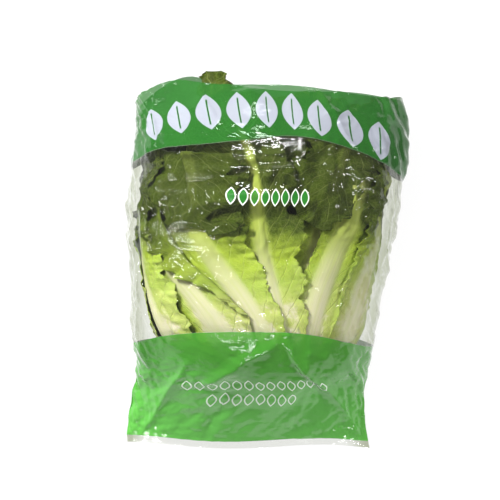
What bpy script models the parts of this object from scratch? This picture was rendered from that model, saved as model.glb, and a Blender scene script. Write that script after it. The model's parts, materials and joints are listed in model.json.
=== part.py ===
"""A head of chicory, as cut, lying in its printed film bag.

The head is a crown with four rings of leaves round it. A leaf is drawn flat, as distances
across and along its rib, and is then laid on a shell of the head. Shells lie inside each
other like an onion's, so leaves on different shells stay clear of each other. Within a
ring each leaf slopes like a roof tile: its right edge lies over its neighbour's left edge.
One smooth bend of space, the same for every piece, then makes the whole head uneven.

Metres, +Z up. The head lies along Y, its cut end towards -Y and the bag's mouth towards +Y.
"""

import math
from collections import namedtuple

import bpy
import numpy as np

# Sizes of the head
BUTT_Y = -0.136
CUT_RADIUS = (0.021, 0.018)
CROWN_SIDES = 28
# The stub of the crown: distance from the cut, and share of the cut's radius
STUB_STEPS = ((0.0, 0.86), (0.0012, 1.0), (0.006, 1.08))
CROWN_ROOM = 0.0021
CROWN_TIP = (0.010, 0.03)
LEAF_THICKNESS = 0.0009

# Stations of the head's outline: y, half width, rise and drop from the axis, axis x, axis z
HEAD_STATIONS = (
    (-0.128, 0.034, 0.028, 0.025, 0.012, 0.034),
    (-0.104, 0.076, 0.044, 0.034, 0.004, 0.040),
    (-0.070, 0.110, 0.058, 0.040, -0.004, 0.046),
    (-0.035, 0.119, 0.064, 0.043, -0.006, 0.049),
    (-0.005, 0.123, 0.067, 0.044, -0.006, 0.050),
    (0.022, 0.127, 0.068, 0.044, -0.004, 0.050),
    (0.057, 0.129, 0.068, 0.044, 0.000, 0.050),
    (0.107, 0.125, 0.062, 0.043, 0.002, 0.049),
    (0.155, 0.115, 0.050, 0.040, 0.000, 0.047),
    (0.192, 0.098, 0.036, 0.034, 0.000, 0.044),
)

# Rings of leaves, from the outside in. shell is the share of the head's outline that the
# ring lies on, tiling the share of TILE_STATIONS that its leaves rise by, and rows and
# wing_columns are the faces along a leaf and on each side of its rib.
Ring = namedtuple("Ring", "name shell base_y tiling rows wing_columns rib_rise")
OUTER = Ring("leaf_outer", 0.900, -0.122, 1.0, 14, 3, 0.0030)
MIDDLE = Ring("leaf_middle", 0.620, -0.115, 1.0, 10, 3, 0.0026)
INNER = Ring("leaf_inner", 0.400, -0.108, 1.0, 8, 2, 0.0022)
HEART = Ring("leaf_heart", 0.190, -0.100, 1.0, 7, 1, 0.0013)

# Height of a leaf's right edge over its right neighbour, at the crown and further out
TILE_STATIONS = ((-0.122, 0.0026), (-0.100, 0.0042), (-0.060, 0.0056), (0.192, 0.0056))
# How much fuller than an ellipse the head is between its top and its sides
FULLNESS = 0.07
# Where the ribs fan out from their places round the crown to their places round the head,
# and where some of them lean over further
FAN_Y = (-0.100, 0.065)
LEAN_Y = (0.035, 0.150)

# Half width of a leaf, as a share of its widest, at shares of its length
OUTLINE_STATIONS = (
    (0.00, 0.110),
    (0.08, 0.300),
    (0.22, 0.500),
    (0.38, 0.640),
    (0.52, 0.800),
    (0.70, 1.000),
    (0.86, 0.880),
    (0.95, 0.600),
    (1.00, 0.180),
)
# Share of the rib's greatest width and rise, at shares of a leaf's length
RIB_STATIONS = (
    (0.00, 0.40, 0.45),
    (0.10, 0.85, 0.70),
    (0.22, 1.00, 1.00),
    (0.45, 0.70, 0.95),
    (0.65, 0.42, 0.60),
    (0.85, 0.24, 0.25),
    (1.00, 0.14, 0.05),
)
RIB_MARGIN = 0.0012
RIB_ON_OUTSIDE = 0.8
RIB_COLOUR_END = 0.8
LOBE_DEPTH = 0.14
# Height of the waves in a leaf's margin, radians of wave to a row, and between the two sides
RUFFLE = 0.0011
RUFFLE_TURN = 1.45
RUFFLE_SIDES = 1.3

# base and tip are degrees round the axis at the crown and further out, 90 on top.
# half_width is the blade's, at its widest, rib_width the whole rib's and lean in degrees.
Leaf = namedtuple("Leaf", "ring number base tip tip_y half_width rib_width lean", defaults=(0,))

OUTER_LEAVES = (
    Leaf(OUTER, 0, 34, 8, 0.150, 0.047, 0.022),
    Leaf(OUTER, 1, 60, 48, 0.128, 0.050, 0.025),
    Leaf(OUTER, 2, 75, 98, 0.168, 0.058, 0.019, 9),
    Leaf(OUTER, 3, 87, 128, 0.098, 0.050, 0.028, 3),
    Leaf(OUTER, 4, 111, 152, 0.116, 0.050, 0.026),
    Leaf(OUTER, 5, 148, 188, 0.130, 0.048, 0.021),
    Leaf(OUTER, 6, 180, 224, 0.142, 0.048, 0.022),
    Leaf(OUTER, 7, 212, 248, 0.128, 0.048, 0.022),
    Leaf(OUTER, 8, 246, 270, 0.150, 0.050, 0.022),
    Leaf(OUTER, 9, 282, 290, 0.136, 0.048, 0.022),
    Leaf(OUTER, 10, 318, 315, 0.144, 0.048, 0.022),
    Leaf(OUTER, 11, 356, 341, 0.128, 0.044, 0.022),
)


def ring_of(ring, places, tip_ys, half_widths, rib_width):
    """A ring of leaves at these places round the axis, taking their widths in turn."""
    leaves = []
    for i, (place, tip_y) in enumerate(zip(places, tip_ys)):
        leaves.append(Leaf(ring, i, place, place, tip_y, half_widths[i % len(half_widths)], rib_width))
    return tuple(leaves)


MIDDLE_PLACES = (14, 57, 97, 136, 182, 227, 270, 317)
MIDDLE_TIPS = (0.150, 0.160, 0.156, 0.190, 0.150, 0.142, 0.160, 0.148)
MIDDLE_LEAVES = ring_of(MIDDLE, MIDDLE_PLACES, MIDDLE_TIPS, (0.042, 0.040), 0.020)
INNER_PLACES = (50, 110, 170, 230, 290, 350)
INNER_TIPS = (0.150, 0.138, 0.154, 0.142, 0.148, 0.136)
INNER_LEAVES = ring_of(INNER, INNER_PLACES, INNER_TIPS, (0.032, 0.030), 0.015)
HEART_PLACES, HEART_TIPS = (20, 110, 200, 290), (0.126, 0.112, 0.120, 0.106)
HEART_LEAVES = ring_of(HEART, HEART_PLACES, HEART_TIPS, (0.018, 0.015), 0.010)
RINGS = {OUTER: OUTER_LEAVES, MIDDLE: MIDDLE_LEAVES, INNER: INNER_LEAVES, HEART: HEART_LEAVES}

# The bag: y, half width, rim height, rise of the film above the rim, hump, centre x.
# A hump of 1 is an ellipse's arch, and more than 1 draws the film down beside the head.
FILM = 0.0007
SIDE_SEAM = 0.0025
BAG_STATIONS = (
    (-0.187, 0.125, 0.0016, 0.0008, 1.00, -0.013),
    (-0.165, 0.122, 0.0030, 0.0160, 1.90, -0.015),
    (-0.143, 0.119, 0.0060, 0.0440, 2.00, -0.017),
    (-0.113, 0.117, 0.0150, 0.0740, 1.40, -0.015),
    (-0.088, 0.120, 0.0260, 0.0800, 1.10, -0.013),
    (-0.063, 0.123, 0.0340, 0.0820, 1.00, -0.011),
    (-0.033, 0.126, 0.0400, 0.0820, 1.00, -0.008),
    (-0.005, 0.130, 0.0430, 0.0810, 1.00, -0.006),
    (0.022, 0.135, 0.0450, 0.0800, 1.00, -0.003),
    (0.057, 0.138, 0.0460, 0.0790, 1.00, 0.000),
    (0.107, 0.137, 0.0460, 0.0730, 1.00, 0.002),
    (0.142, 0.134, 0.0430, 0.0620, 1.00, 0.000),
    (0.185, 0.124, 0.0380, 0.0450, 1.00, -0.003),
)
BAG_FULLNESS = 0.11
# The underside falls from the rim past the floor's height, where it is cut flat
BELLY_DEPTH = 1.06
BELLY_ROUND = 0.75
CAVITY_LEAST = 0.00024
BAG_ROWS = 20
BAG_COLUMNS = 32
MOUTH_PEAK = (-0.075, 0.182)
MOUTH_LEFT_DROP = 9.0
MOUTH_RIGHT_SLOPE = 0.146
MOUTH_STEP = 0.004
BAND_TOP_Y = 0.119
BAND_BOTTOM_Y = -0.079
HEM_Y = -0.180
BAND_TOP_ARCH = 2.05
BAND_BOTTOM_ARCH = 0.90

# The bend of space: how far, over what distance, and the height where it is whole
WANDER = 0.0045
WANDER_LENGTH = 0.125
WANDER_FULL_Z = 0.050
WANDER_WAVES = 7
SEED = 12


def smooth_through(stations, at):
    """Columns of the stations at any place, on a cubic curve without overshoot."""
    table = np.array(stations, float)
    x, y = table[:, 0], table[:, 1:]
    step = np.diff(x)[:, None]
    secant = np.diff(y, axis=0) / step
    slope = np.zeros_like(y)
    same_way = secant[:-1] * secant[1:] > 0
    mean = 2 * secant[:-1] * secant[1:] / np.where(same_way, secant[:-1] + secant[1:], 1)
    slope[1:-1] = np.where(same_way, mean, 0)
    slope[0], slope[-1] = secant[0], secant[-1]
    at = np.clip(np.asarray(at, float), x[0], x[-1])
    i = np.clip(np.searchsorted(x, at, side="right") - 1, 0, len(x) - 2)
    h = (x[i + 1] - x[i])[..., None]
    t = (at - x[i])[..., None] / h
    value = (
        (1 + 2 * t) * (1 - t) ** 2 * y[i]
        + t * (1 - t) ** 2 * h * slope[i]
        + t**2 * (3 - 2 * t) * y[i + 1]
        + t**2 * (t - 1) * h * slope[i + 1]
    )
    return np.moveaxis(value, -1, 0)


def smoothstep(low, high, x):
    t = np.clip((x - low) / (high - low), 0, 1)
    return t * t * (3 - 2 * t)


def make_waves():
    """Directions, phases and pushes of the sine waves that bend space."""
    draw = np.random.default_rng(SEED)
    direction = draw.normal(size=(WANDER_WAVES, 3))
    direction /= np.linalg.norm(direction, axis=1)[:, None]
    push = draw.normal(size=(WANDER_WAVES, 3))
    push /= np.linalg.norm(push, axis=1)[:, None]
    length = WANDER_LENGTH * draw.uniform(0.8, 1.6, WANDER_WAVES)
    phase = draw.uniform(0, 2 * math.pi, WANDER_WAVES)
    return direction * (2 * math.pi / length)[:, None], phase, push


WAVES = make_waves()


def bend_space(points):
    """Every piece goes through this, so what is clear before stays clear. The floor stays flat."""
    number, phase, push = WAVES
    amount = WANDER * math.sqrt(3 / WANDER_WAVES)
    shift = np.sin(points @ number.T + phase) @ push * amount
    shift[..., 2] *= np.clip(points[..., 2] / WANDER_FULL_Z, 0, 1)
    return points + shift


def head_section(y, angle):
    """Half width, height on this side, axis x and axis z of the head's outline."""
    half_width, rise, drop, axis_x, axis_z = smooth_through(HEAD_STATIONS, y)
    height = np.where(np.sin(angle) >= 0, rise, drop)
    return half_width, height, axis_x, axis_z


def shell_point(angle, y, shell):
    half_width, height, axis_x, axis_z = head_section(y, angle)
    full = shell * (1 + FULLNESS * np.sin(2 * angle) ** 2)
    x = axis_x + half_width * full * np.cos(angle)
    z = axis_z + height * full * np.sin(angle)
    return np.stack([x, y, z], axis=-1)


def shell_depth(angle, y):
    """How far apart the axis and the head's outline are, square to the outline."""
    half_width, height, _, _ = head_section(y, angle)
    return half_width * height / np.hypot(height * np.cos(angle), half_width * np.sin(angle))


def walk_round(angle, y, shell, distance, steps=12):
    """The angle reached from angle after walking distance round a shell, clockwise on top."""
    turn = 0.02
    for _ in range(steps):
        chord = shell_point(angle + turn, y, shell) - shell_point(angle - turn, y, shell)
        angle = angle - distance / steps * 2 * turn / np.linalg.norm(chord, axis=-1)
    return angle


def rib_angle(leaf, y):
    fanned = leaf.base + (leaf.tip - leaf.base) * smoothstep(*FAN_Y, y)
    return np.radians(fanned + leaf.lean * smoothstep(*LEAN_Y, y))


def place_in_ring(ring, angle, y):
    """Counts round the ring: a whole number on each leaf's rib, and shares in between."""
    ribs = [rib_angle(leaf, y) for leaf in RINGS[ring]]
    place = np.zeros_like(angle)
    turn = 2 * math.pi
    for i, rib in enumerate(ribs):
        following = ribs[i + 1] if i + 1 < len(ribs) else ribs[0] + turn
        past = (angle - rib) % turn
        place = np.where(past < (following - rib) % turn, i + past / ((following - rib) % turn), place)
    return place


def zigzag(x):
    """A wave of period 2 that runs in straight lines between -1 at even and 1 at odd x."""
    return 1 - 2 * np.abs((x % 2) - 1)


def rib_profile(leaf, along):
    width, rise = smooth_through(RIB_STATIONS, along)
    return leaf.rib_width / 2 * width, leaf.ring.rib_rise * rise


def half_outline(leaf, along, side):
    """Half width at a share of the leaf's length. side is -1 or 1."""
    share = smooth_through(OUTLINE_STATIONS, along)[0]
    lobes = zigzag(along * leaf.ring.rows + (0.5 - side / 2))
    lobed = smoothstep(0.10, 0.30, along) * LOBE_DEPTH
    rib = rib_profile(leaf, along)[0]
    return np.maximum(leaf.half_width * share * (1 + lobes * lobed), rib + RIB_MARGIN)


def leaf_middle_surface(leaf, along, across):
    """Points of the leaf's middle surface. along is a share and across is in metres."""
    ring = leaf.ring
    y = ring.base_y + along * (leaf.tip_y - ring.base_y)
    angle = walk_round(rib_angle(leaf, y), y, ring.shell, across)
    count = len(RINGS[ring])
    passed = (leaf.number - place_in_ring(ring, angle, y) + count / 2) % count - count / 2
    tile = smooth_through(TILE_STATIONS, y)[0] * ring.tiling * passed
    reach = np.abs(across) / leaf.half_width
    wave = along * ring.rows * RUFFLE_TURN + np.sign(across) * RUFFLE_SIDES + math.radians(leaf.base) * 3
    ruffle = RUFFLE * reach**1.5 * np.sin(wave)
    return shell_point(angle, y, ring.shell + (tile + ruffle) / shell_depth(angle, y))


def grid_normals(points):
    along = np.gradient(points, axis=0)
    across = np.gradient(points, axis=1)
    normal = np.cross(across, along)
    return normal / np.linalg.norm(normal, axis=-1, keepdims=True)


def leaf_grid(leaf):
    """Shares along and metres across for the leaf's grid, with lines on the rib's edges."""
    ring = leaf.ring
    along = np.linspace(0, 1, ring.rows + 1)
    rib = rib_profile(leaf, along)[0]
    wing = np.linspace(0, 1, ring.wing_columns + 1)[1:]
    sides = []
    for side in (-1, 1):
        edge = half_outline(leaf, along, side)
        outward = rib[:, None] + (edge - rib)[:, None] * wing
        sides.append(side * np.concatenate([rib[:, None], outward], axis=1))
    across = np.concatenate([sides[0][:, ::-1], np.zeros((len(along), 1)), sides[1]], axis=1)
    return np.repeat(along[:, None], across.shape[1], axis=1), across


def leaf_faces(leaf):
    """Outer and inner points of the leaf on the same grid."""
    along, across = leaf_grid(leaf)
    middle = leaf_middle_surface(leaf, along, across)
    normal = grid_normals(middle)
    rib_half, rib_rise = rib_profile(leaf, along)
    bulge = rib_rise * np.clip(1 - (across / rib_half) ** 2, 0, 1)
    outer = middle + normal * (LEAF_THICKNESS / 2 + bulge * RIB_ON_OUTSIDE)[..., None]
    inner = middle - normal * (LEAF_THICKNESS / 2 + bulge * (1 - RIB_ON_OUTSIDE))[..., None]
    return outer, inner


def closed_sheet(outer, inner):
    """Points and triangles of a solid between two like grids, split alike on both faces."""
    rows, columns = outer.shape[:2]
    size = rows * columns
    index = np.arange(size).reshape(rows, columns)
    a, b = index[:-1, :-1].ravel(), index[:-1, 1:].ravel()
    c, d = index[1:, 1:].ravel(), index[1:, :-1].ravel()
    top = np.concatenate([np.stack([a, b, c], 1), np.stack([a, c, d], 1)])
    under = top[:, ::-1] + size
    border = np.concatenate([index[0, :-1], index[:-1, -1], index[-1, :0:-1], index[:0:-1, 0]])
    after = np.roll(border, -1)
    rim = np.concatenate(
        [
            np.stack([border, border + size, after + size], 1),
            np.stack([border, after + size, after], 1),
        ]
    )
    points = np.concatenate([outer.reshape(-1, 3), inner.reshape(-1, 3)])
    return points, np.concatenate([top, under, rim])


def principled(name, colour, roughness, alpha=1.0):
    material = bpy.data.materials.new(name)
    material.use_nodes = True
    shader = material.node_tree.nodes["Principled BSDF"]
    shader.inputs["Base Color"].default_value = (*colour, 1)
    shader.inputs["Roughness"].default_value = roughness
    shader.inputs["Metallic"].default_value = 0.0
    shader.inputs["Alpha"].default_value = alpha
    return material


def add_object(name, points, triangles, materials, chosen=None):
    mesh = bpy.data.meshes.new(name)
    mesh.from_pydata(points.tolist(), [], triangles.tolist())
    for material in materials:
        mesh.materials.append(material)
    if chosen is not None:
        mesh.polygons.foreach_set("material_index", chosen)
    mesh.shade_smooth()
    mesh.set_sharp_from_angle(angle=math.radians(50))
    obj = bpy.data.objects.new(name, mesh)
    bpy.context.scene.collection.objects.link(obj)
    return obj


def add_leaf(leaf, blade, rib):
    outer, inner = leaf_faces(leaf)
    points, triangles = closed_sheet(outer, inner)
    along, across = leaf_grid(leaf)
    rib_half = rib_profile(leaf, along)[0]
    on_rib = (np.abs(across) < rib_half * 1.01) & (along < RIB_COLOUR_END)
    chosen = np.tile(on_rib.ravel(), 2)[triangles].all(axis=1).astype(int)
    name = f"{leaf.ring.name}_{leaf.number + 1:02d}"
    add_object(name, bend_space(points), triangles, (blade, rib), chosen)


def ring_walls(first, rows, columns, flip):
    """Triangles between rows of points that each close in a ring."""
    triangles = []
    for i in range(rows - 1):
        for j in range(columns):
            k = (j + 1) % columns
            a, b = first + i * columns + j, first + i * columns + k
            c, d = first + (i + 1) * columns + k, first + (i + 1) * columns + j
            triangles += [(a, b, c), (a, c, d)] if flip else [(a, c, b), (a, d, c)]
    return triangles


def ring_cap(first, columns, flip):
    """Closes one ring of points with strips from its upper to its lower side."""
    triangles = []
    for j in range(columns // 2):
        a, b = first + j, first + j + 1
        c, d = first + columns - j - 1, first + (columns - j) % columns
        for triangle in ((a, b, c), (a, c, d)):
            if len(set(triangle)) == 3:
                triangles.append(triangle[::-1] if flip else triangle)
    return triangles


def add_crown(material):
    """The cut stem: a short stub, then a cone that narrows inside each ring of leaf bases."""
    angle = np.linspace(0, 2 * math.pi, CROWN_SIDES, endpoint=False)
    axis_x, axis_z = smooth_through(HEAD_STATIONS, np.array([OUTER.base_y]))[3:, 0]
    loops = []
    for step, share in STUB_STEPS:
        x = axis_x + CUT_RADIUS[0] * share * np.cos(angle)
        z = axis_z + CUT_RADIUS[1] * share * np.sin(angle)
        loops.append(np.stack([x, np.full_like(x, BUTT_Y + step), z], 1))
    for ring in RINGS:
        y = np.full_like(angle, ring.base_y)
        loops.append(shell_point(angle, y, ring.shell - CROWN_ROOM / shell_depth(angle, y)))
    loops.append(shell_point(angle, np.full_like(angle, HEART.base_y + CROWN_TIP[0]), CROWN_TIP[1]))
    triangles = ring_walls(0, len(loops), CROWN_SIDES, False)
    triangles += ring_cap(0, CROWN_SIDES, False)
    triangles += ring_cap((len(loops) - 1) * CROWN_SIDES, CROWN_SIDES, True)
    add_object("crown", bend_space(np.concatenate(loops)), np.array(triangles), (material,))


def mouth_y(x, top):
    """Where the film ends: furthest left of the middle, and a little short underneath."""
    past = x - MOUTH_PEAK[0]
    end = MOUTH_PEAK[1] - np.where(past < 0, MOUTH_LEFT_DROP * past**2, MOUTH_RIGHT_SLOPE * past)
    return np.where(top, end, end - MOUTH_STEP)


def bag_section(y, angle):
    """One point of the bag's outer face at each place along and angle round."""
    half_width, rim, rise, hump, centre_x = smooth_through(BAG_STATIONS, y)
    x = centre_x + half_width * np.cos(angle)
    s = np.sin(angle)
    above = rim + rise * np.abs(s) ** hump * (1 + BAG_FULLNESS * np.sin(2 * angle) ** 2)
    below = np.maximum(rim * (1 - BELLY_DEPTH * np.abs(s) ** BELLY_ROUND), 0.0)
    return np.stack([x, y, np.where(s >= 0, above, below)], axis=-1)


def bag_grids():
    """Outer and inner grids of the film: rows from the seal to the mouth, columns round."""
    angle = np.linspace(0, 2 * math.pi, BAG_COLUMNS, endpoint=False)
    share = np.linspace(0, 1, BAG_ROWS + 1)
    angle = np.repeat(angle[None, :], len(share), axis=0)
    share = np.repeat(share[:, None], BAG_COLUMNS, axis=1)
    near_mouth = bag_section(np.full_like(angle, MOUTH_PEAK[1]), angle)
    end = mouth_y(near_mouth[..., 0], np.sin(angle) >= 0)
    seal_y = BAG_STATIONS[0][0]
    y = seal_y + (end - seal_y) * share
    outer = bag_section(y, angle)
    half_width, _, _, _, centre_x = smooth_through(BAG_STATIONS, y)
    keep = 1 - SIDE_SEAM / half_width
    inner_x = centre_x + (outer[..., 0] - centre_x) * keep
    inner = outer.copy()
    inner[..., 0] = inner_x
    inner[..., 2] += np.where(np.sin(angle) >= 0, -FILM, FILM)
    return outer, inner


def add_bag(film, ink):
    """The film as one thin solid, whose hollow stops a row short of the seal."""
    outer, inner = bag_grids()
    rows, columns = outer.shape[:2]
    opposite = (columns - np.arange(columns)) % columns
    upper = np.arange(columns) <= columns // 2
    middle = (inner[..., 2] + inner[:, opposite, 2]) / 2
    apart = np.where(upper, CAVITY_LEAST / 2, -CAVITY_LEAST / 2)
    depth = inner[..., 2] - middle
    inner[..., 2] = middle + np.where(upper, np.maximum(depth, apart), np.minimum(depth, apart))
    points = np.concatenate([outer.reshape(-1, 3), inner[1:].reshape(-1, 3)])
    inside = rows * columns
    triangles = ring_walls(0, rows, columns, False)
    triangles += ring_walls(inside, rows - 1, columns, True)
    triangles += ring_cap(0, columns, False)
    triangles += ring_cap(inside, columns, True)
    last_outer, last_inner = inside - columns, len(points) - columns
    for j in range(columns):
        k = (j + 1) % columns
        triangles.append((last_outer + j, last_inner + k, last_outer + k))
        triangles.append((last_outer + j, last_inner + j, last_inner + k))
    triangles = np.array(triangles)
    chosen = printed(points[triangles].mean(axis=1)).astype(int)
    add_object("bag", bend_space(points), triangles, (film, ink), chosen)


def printed(points):
    """Where the film carries ink: in two arched bands, with a clear hem below the lower one."""
    x, y = points[:, 0], points[:, 1]
    top = y > BAND_TOP_Y - BAND_TOP_ARCH * x * x
    bottom = (y > HEM_Y) & (y < BAND_BOTTOM_Y - BAND_BOTTOM_ARCH * x * x)
    return top | bottom


def centre_on_origin():
    """Moves every mesh so that the whole stands over the origin, on z = 0."""
    parts = list(bpy.context.scene.collection.objects)
    every = np.array([v.co for part in parts for v in part.data.vertices])
    low, high = every.min(axis=0), every.max(axis=0)
    shift = (-(low[0] + high[0]) / 2, -(low[1] + high[1]) / 2, -low[2])
    for part in parts:
        for vertex in part.data.vertices:
            vertex.co.x += shift[0]
            vertex.co.y += shift[1]
            vertex.co.z += shift[2]


def main():
    for obj in list(bpy.data.objects):
        bpy.data.objects.remove(obj)
    blade = principled("leaf_green", (0.16, 0.30, 0.04), 0.5)
    rib = principled("rib_cream", (0.74, 0.75, 0.50), 0.45)
    stem = principled("cut_stem", (0.72, 0.66, 0.48), 0.6)
    film = principled("clear_film", (0.92, 0.94, 0.92), 0.1, 0.18)
    ink = principled("green_print", (0.08, 0.40, 0.09), 0.25, 0.9)
    add_crown(stem)
    for leaves in RINGS.values():
        for leaf in leaves:
            add_leaf(leaf, blade, rib)
    add_bag(film, ink)
    centre_on_origin()


main()
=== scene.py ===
"""A head of broad-leaved chicory in its clear printed bag, seen from above.

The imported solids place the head, and the sections of head and bag are theirs or within a
few millimetres of them. Some leaves are wider low down here, or folded back at their tips.
Each is drawn flat, as distances along and across its rib, and is then laid on a shell of
the head, with teeth, frills and blisters. The film is stretched over them and wrinkled.
Metres, +Y towards the leaf tips, +Z up.
"""

import json
import math
from collections import namedtuple

import bpy
import numpy as np
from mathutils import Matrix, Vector

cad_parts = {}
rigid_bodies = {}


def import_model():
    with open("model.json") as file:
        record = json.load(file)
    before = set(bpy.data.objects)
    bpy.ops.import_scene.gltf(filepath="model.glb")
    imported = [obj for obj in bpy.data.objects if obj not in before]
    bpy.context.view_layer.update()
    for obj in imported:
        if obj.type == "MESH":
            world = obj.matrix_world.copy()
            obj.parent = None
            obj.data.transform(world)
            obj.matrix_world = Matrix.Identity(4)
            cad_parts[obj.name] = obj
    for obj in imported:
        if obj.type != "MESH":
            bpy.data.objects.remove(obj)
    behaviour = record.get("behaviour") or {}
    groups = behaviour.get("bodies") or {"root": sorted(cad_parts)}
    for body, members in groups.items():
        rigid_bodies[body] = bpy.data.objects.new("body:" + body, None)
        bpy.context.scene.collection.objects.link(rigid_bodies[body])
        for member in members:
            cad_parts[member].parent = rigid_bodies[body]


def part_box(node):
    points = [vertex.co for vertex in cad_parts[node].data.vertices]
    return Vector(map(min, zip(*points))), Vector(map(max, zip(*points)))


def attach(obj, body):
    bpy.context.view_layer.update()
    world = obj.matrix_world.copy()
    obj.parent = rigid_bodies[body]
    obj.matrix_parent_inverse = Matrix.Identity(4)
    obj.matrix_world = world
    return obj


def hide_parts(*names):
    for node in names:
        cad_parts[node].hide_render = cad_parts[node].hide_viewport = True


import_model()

bl_info = {
    "name": "Bagged Chicory",
    "version": (1, 0, 0),
    "blender": (4, 5, 0),
    "location": "3D View > Sidebar > Chicory",
    "description": "Builds a head of chicory lying in a clear printed bag",
    "category": "Add Mesh",
}

# The head's outline: y, half width, rise and drop from the axis, axis x, axis z
HEAD_STATIONS = (
    (-0.128, 0.034, 0.028, 0.025, 0.012, 0.034),
    (-0.104, 0.076, 0.044, 0.034, 0.004, 0.040),
    (-0.070, 0.110, 0.058, 0.040, -0.004, 0.046),
    (-0.035, 0.120, 0.064, 0.043, -0.005, 0.049),
    (-0.005, 0.126, 0.067, 0.044, -0.004, 0.050),
    (0.022, 0.130, 0.068, 0.044, -0.002, 0.050),
    (0.057, 0.132, 0.068, 0.044, 0.001, 0.050),
    (0.107, 0.128, 0.062, 0.043, 0.003, 0.049),
    (0.155, 0.117, 0.050, 0.040, 0.001, 0.047),
    (0.192, 0.098, 0.036, 0.034, 0.000, 0.044),
)
FULLNESS = 0.07
# Low down the leaves are pressed flat, and from here up they stand free: sines of the angle
PRESSED_SINE = (-0.40, 0.15)
PRESSED_SHARE = 0.30

# Rings of leaves, from the outside in. rows and columns are a leaf's faces along and across.
Ring = namedtuple("Ring", "name shell base_y tiling lobes rib_rise rows columns")
OUTER = Ring("leaf_outer", 0.900, -0.122, 1.0, 14, 0.0030, 220, 48)
MIDDLE = Ring("leaf_middle", 0.620, -0.115, 1.08, 10, 0.0026, 110, 36)
INNER = Ring("leaf_inner", 0.400, -0.108, 1.0, 8, 0.0022, 70, 24)
HEART = Ring("leaf_heart", 0.190, -0.100, 1.0, 7, 0.0013, 50, 16)

TILE_STATIONS = ((-0.122, 0.0026), (-0.100, 0.0042), (-0.060, 0.0056), (0.192, 0.0056))
FAN_Y = (-0.100, 0.065)
LEAN_Y = (0.010, 0.150)
OUTLINE_STATIONS = (
    (0.00, 0.110),
    (0.08, 0.300),
    (0.22, 0.500),
    (0.38, 0.640),
    (0.52, 0.800),
    (0.70, 1.000),
    (0.86, 0.880),
    (0.94, 0.700),
    (0.98, 0.520),
    (1.00, 0.300),
)
RIB_STATIONS = (
    (0.00, 0.40, 0.45),
    (0.10, 0.85, 0.70),
    (0.22, 1.00, 1.00),
    (0.45, 0.70, 0.95),
    (0.65, 0.42, 0.60),
    (0.85, 0.24, 0.25),
    (1.00, 0.14, 0.05),
)
RIB_MARGIN = 0.0012
RIB_ON_OUTSIDE = 0.8
LOBE_DEPTH = 0.14
LEAF_THICKNESS = 0.0006

# A crease where a blade is folded outward, back over itself: metres along and across the
# flat leaf, the degrees that it turns from square to the rib, and the fold's radius
Fold = namedtuple("Fold", "along across turn radius")

# base and tip are degrees round the axis, 90 on top, and lean what the upper part adds.
# flap is how far the flat blade goes on beyond its tip_y, where a fold brings it back,
# left and right widen the lower wings, and lift raises the leaf's middle off its shell.
Leaf = namedtuple(
    "Leaf",
    "ring number base tip tip_y half_width rib_width lean flap folds left right lift",
    defaults=(0, 0, (), 1, 1, 0),
)
OUTER_LEAVES = (
    Leaf(OUTER, 0, 34, 8, 0.150, 0.047, 0.022),
    Leaf(OUTER, 1, 63, 47, 0.128, 0.050, 0.025, 0, 0.115,
         (Fold(0.300, 0.028, 92, 0.0016), Fold(0.250, 0.0, 12, 0.0026)), 0.75, 1.1),
    Leaf(OUTER, 2, 78, 98, 0.168, 0.058, 0.019, 9,
         folds=(Fold(0.190, 0.043, 80, 0.0016), Fold(0.205, -0.047, -84, 0.0016))),
    Leaf(OUTER, 3, 90, 128, 0.098, 0.050, 0.028, 3, 0.085, (Fold(0.220, 0.0, -6, 0.0025),), 1, 1.25),
    Leaf(OUTER, 4, 111, 152, 0.116, 0.050, 0.026, 0, 0.070,
         (Fold(0.130, 0.020, 77, 0.0020), Fold(0.238, 0.0, 4, 0.0028)), 1.9, 1.5),
    Leaf(OUTER, 5, 148, 188, 0.130, 0.048, 0.021, left=1.3, right=1.35),
    Leaf(OUTER, 6, 180, 224, 0.142, 0.048, 0.022),
    Leaf(OUTER, 7, 212, 248, 0.128, 0.048, 0.022),
    Leaf(OUTER, 8, 246, 270, 0.150, 0.050, 0.022),
    Leaf(OUTER, 9, 282, 290, 0.136, 0.048, 0.022),
    Leaf(OUTER, 10, 318, 315, 0.144, 0.048, 0.022),
    Leaf(OUTER, 11, 356, 341, 0.128, 0.044, 0.022),
)


def ring_of(ring, places, tip_ys, half_widths, rib_width, lifts=()):
    """A ring of leaves at these places round the axis, taking their widths in turn."""
    leaves = []
    for i, (place, tip_y) in enumerate(zip(places, tip_ys)):
        leaf = Leaf(ring, i, place, place, tip_y, half_widths[i % len(half_widths)], rib_width)
        leaves.append(leaf._replace(lift=dict(lifts).get(i, 0)))
    return tuple(leaves)


MIDDLE_PLACES = (14, 57, 97, 136, 182, 227, 270, 317)
MIDDLE_TIPS = (0.150, 0.160, 0.156, 0.190, 0.150, 0.142, 0.160, 0.148)
MIDDLE_LEAVES = ring_of(
    MIDDLE, MIDDLE_PLACES, MIDDLE_TIPS, (0.042, 0.040), 0.020, ((1, 0.011), (0, 0.006), (3, 0.009))
)
INNER_PLACES = (50, 110, 170, 230, 290, 350)
INNER_TIPS = (0.150, 0.138, 0.154, 0.142, 0.148, 0.136)
INNER_LEAVES = ring_of(INNER, INNER_PLACES, INNER_TIPS, (0.032, 0.030), 0.015)
HEART_PLACES, HEART_TIPS = (20, 110, 200, 290), (0.126, 0.112, 0.120, 0.106)
HEART_LEAVES = ring_of(HEART, HEART_PLACES, HEART_TIPS, (0.018, 0.015), 0.010)
RINGS = {OUTER: OUTER_LEAVES, MIDDLE: MIDDLE_LEAVES, INNER: INNER_LEAVES, HEART: HEART_LEAVES}

# The cut stem
BUTT_Y = -0.136
CUT_RADIUS = (0.021, 0.018)
STUB_STEPS = ((0.0, 0.86), (0.0012, 1.0), (0.006, 1.08))
CROWN_ROOM = 0.0021
CROWN_TIP = (0.010, 0.03)
CROWN_SIDES = 28

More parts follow.
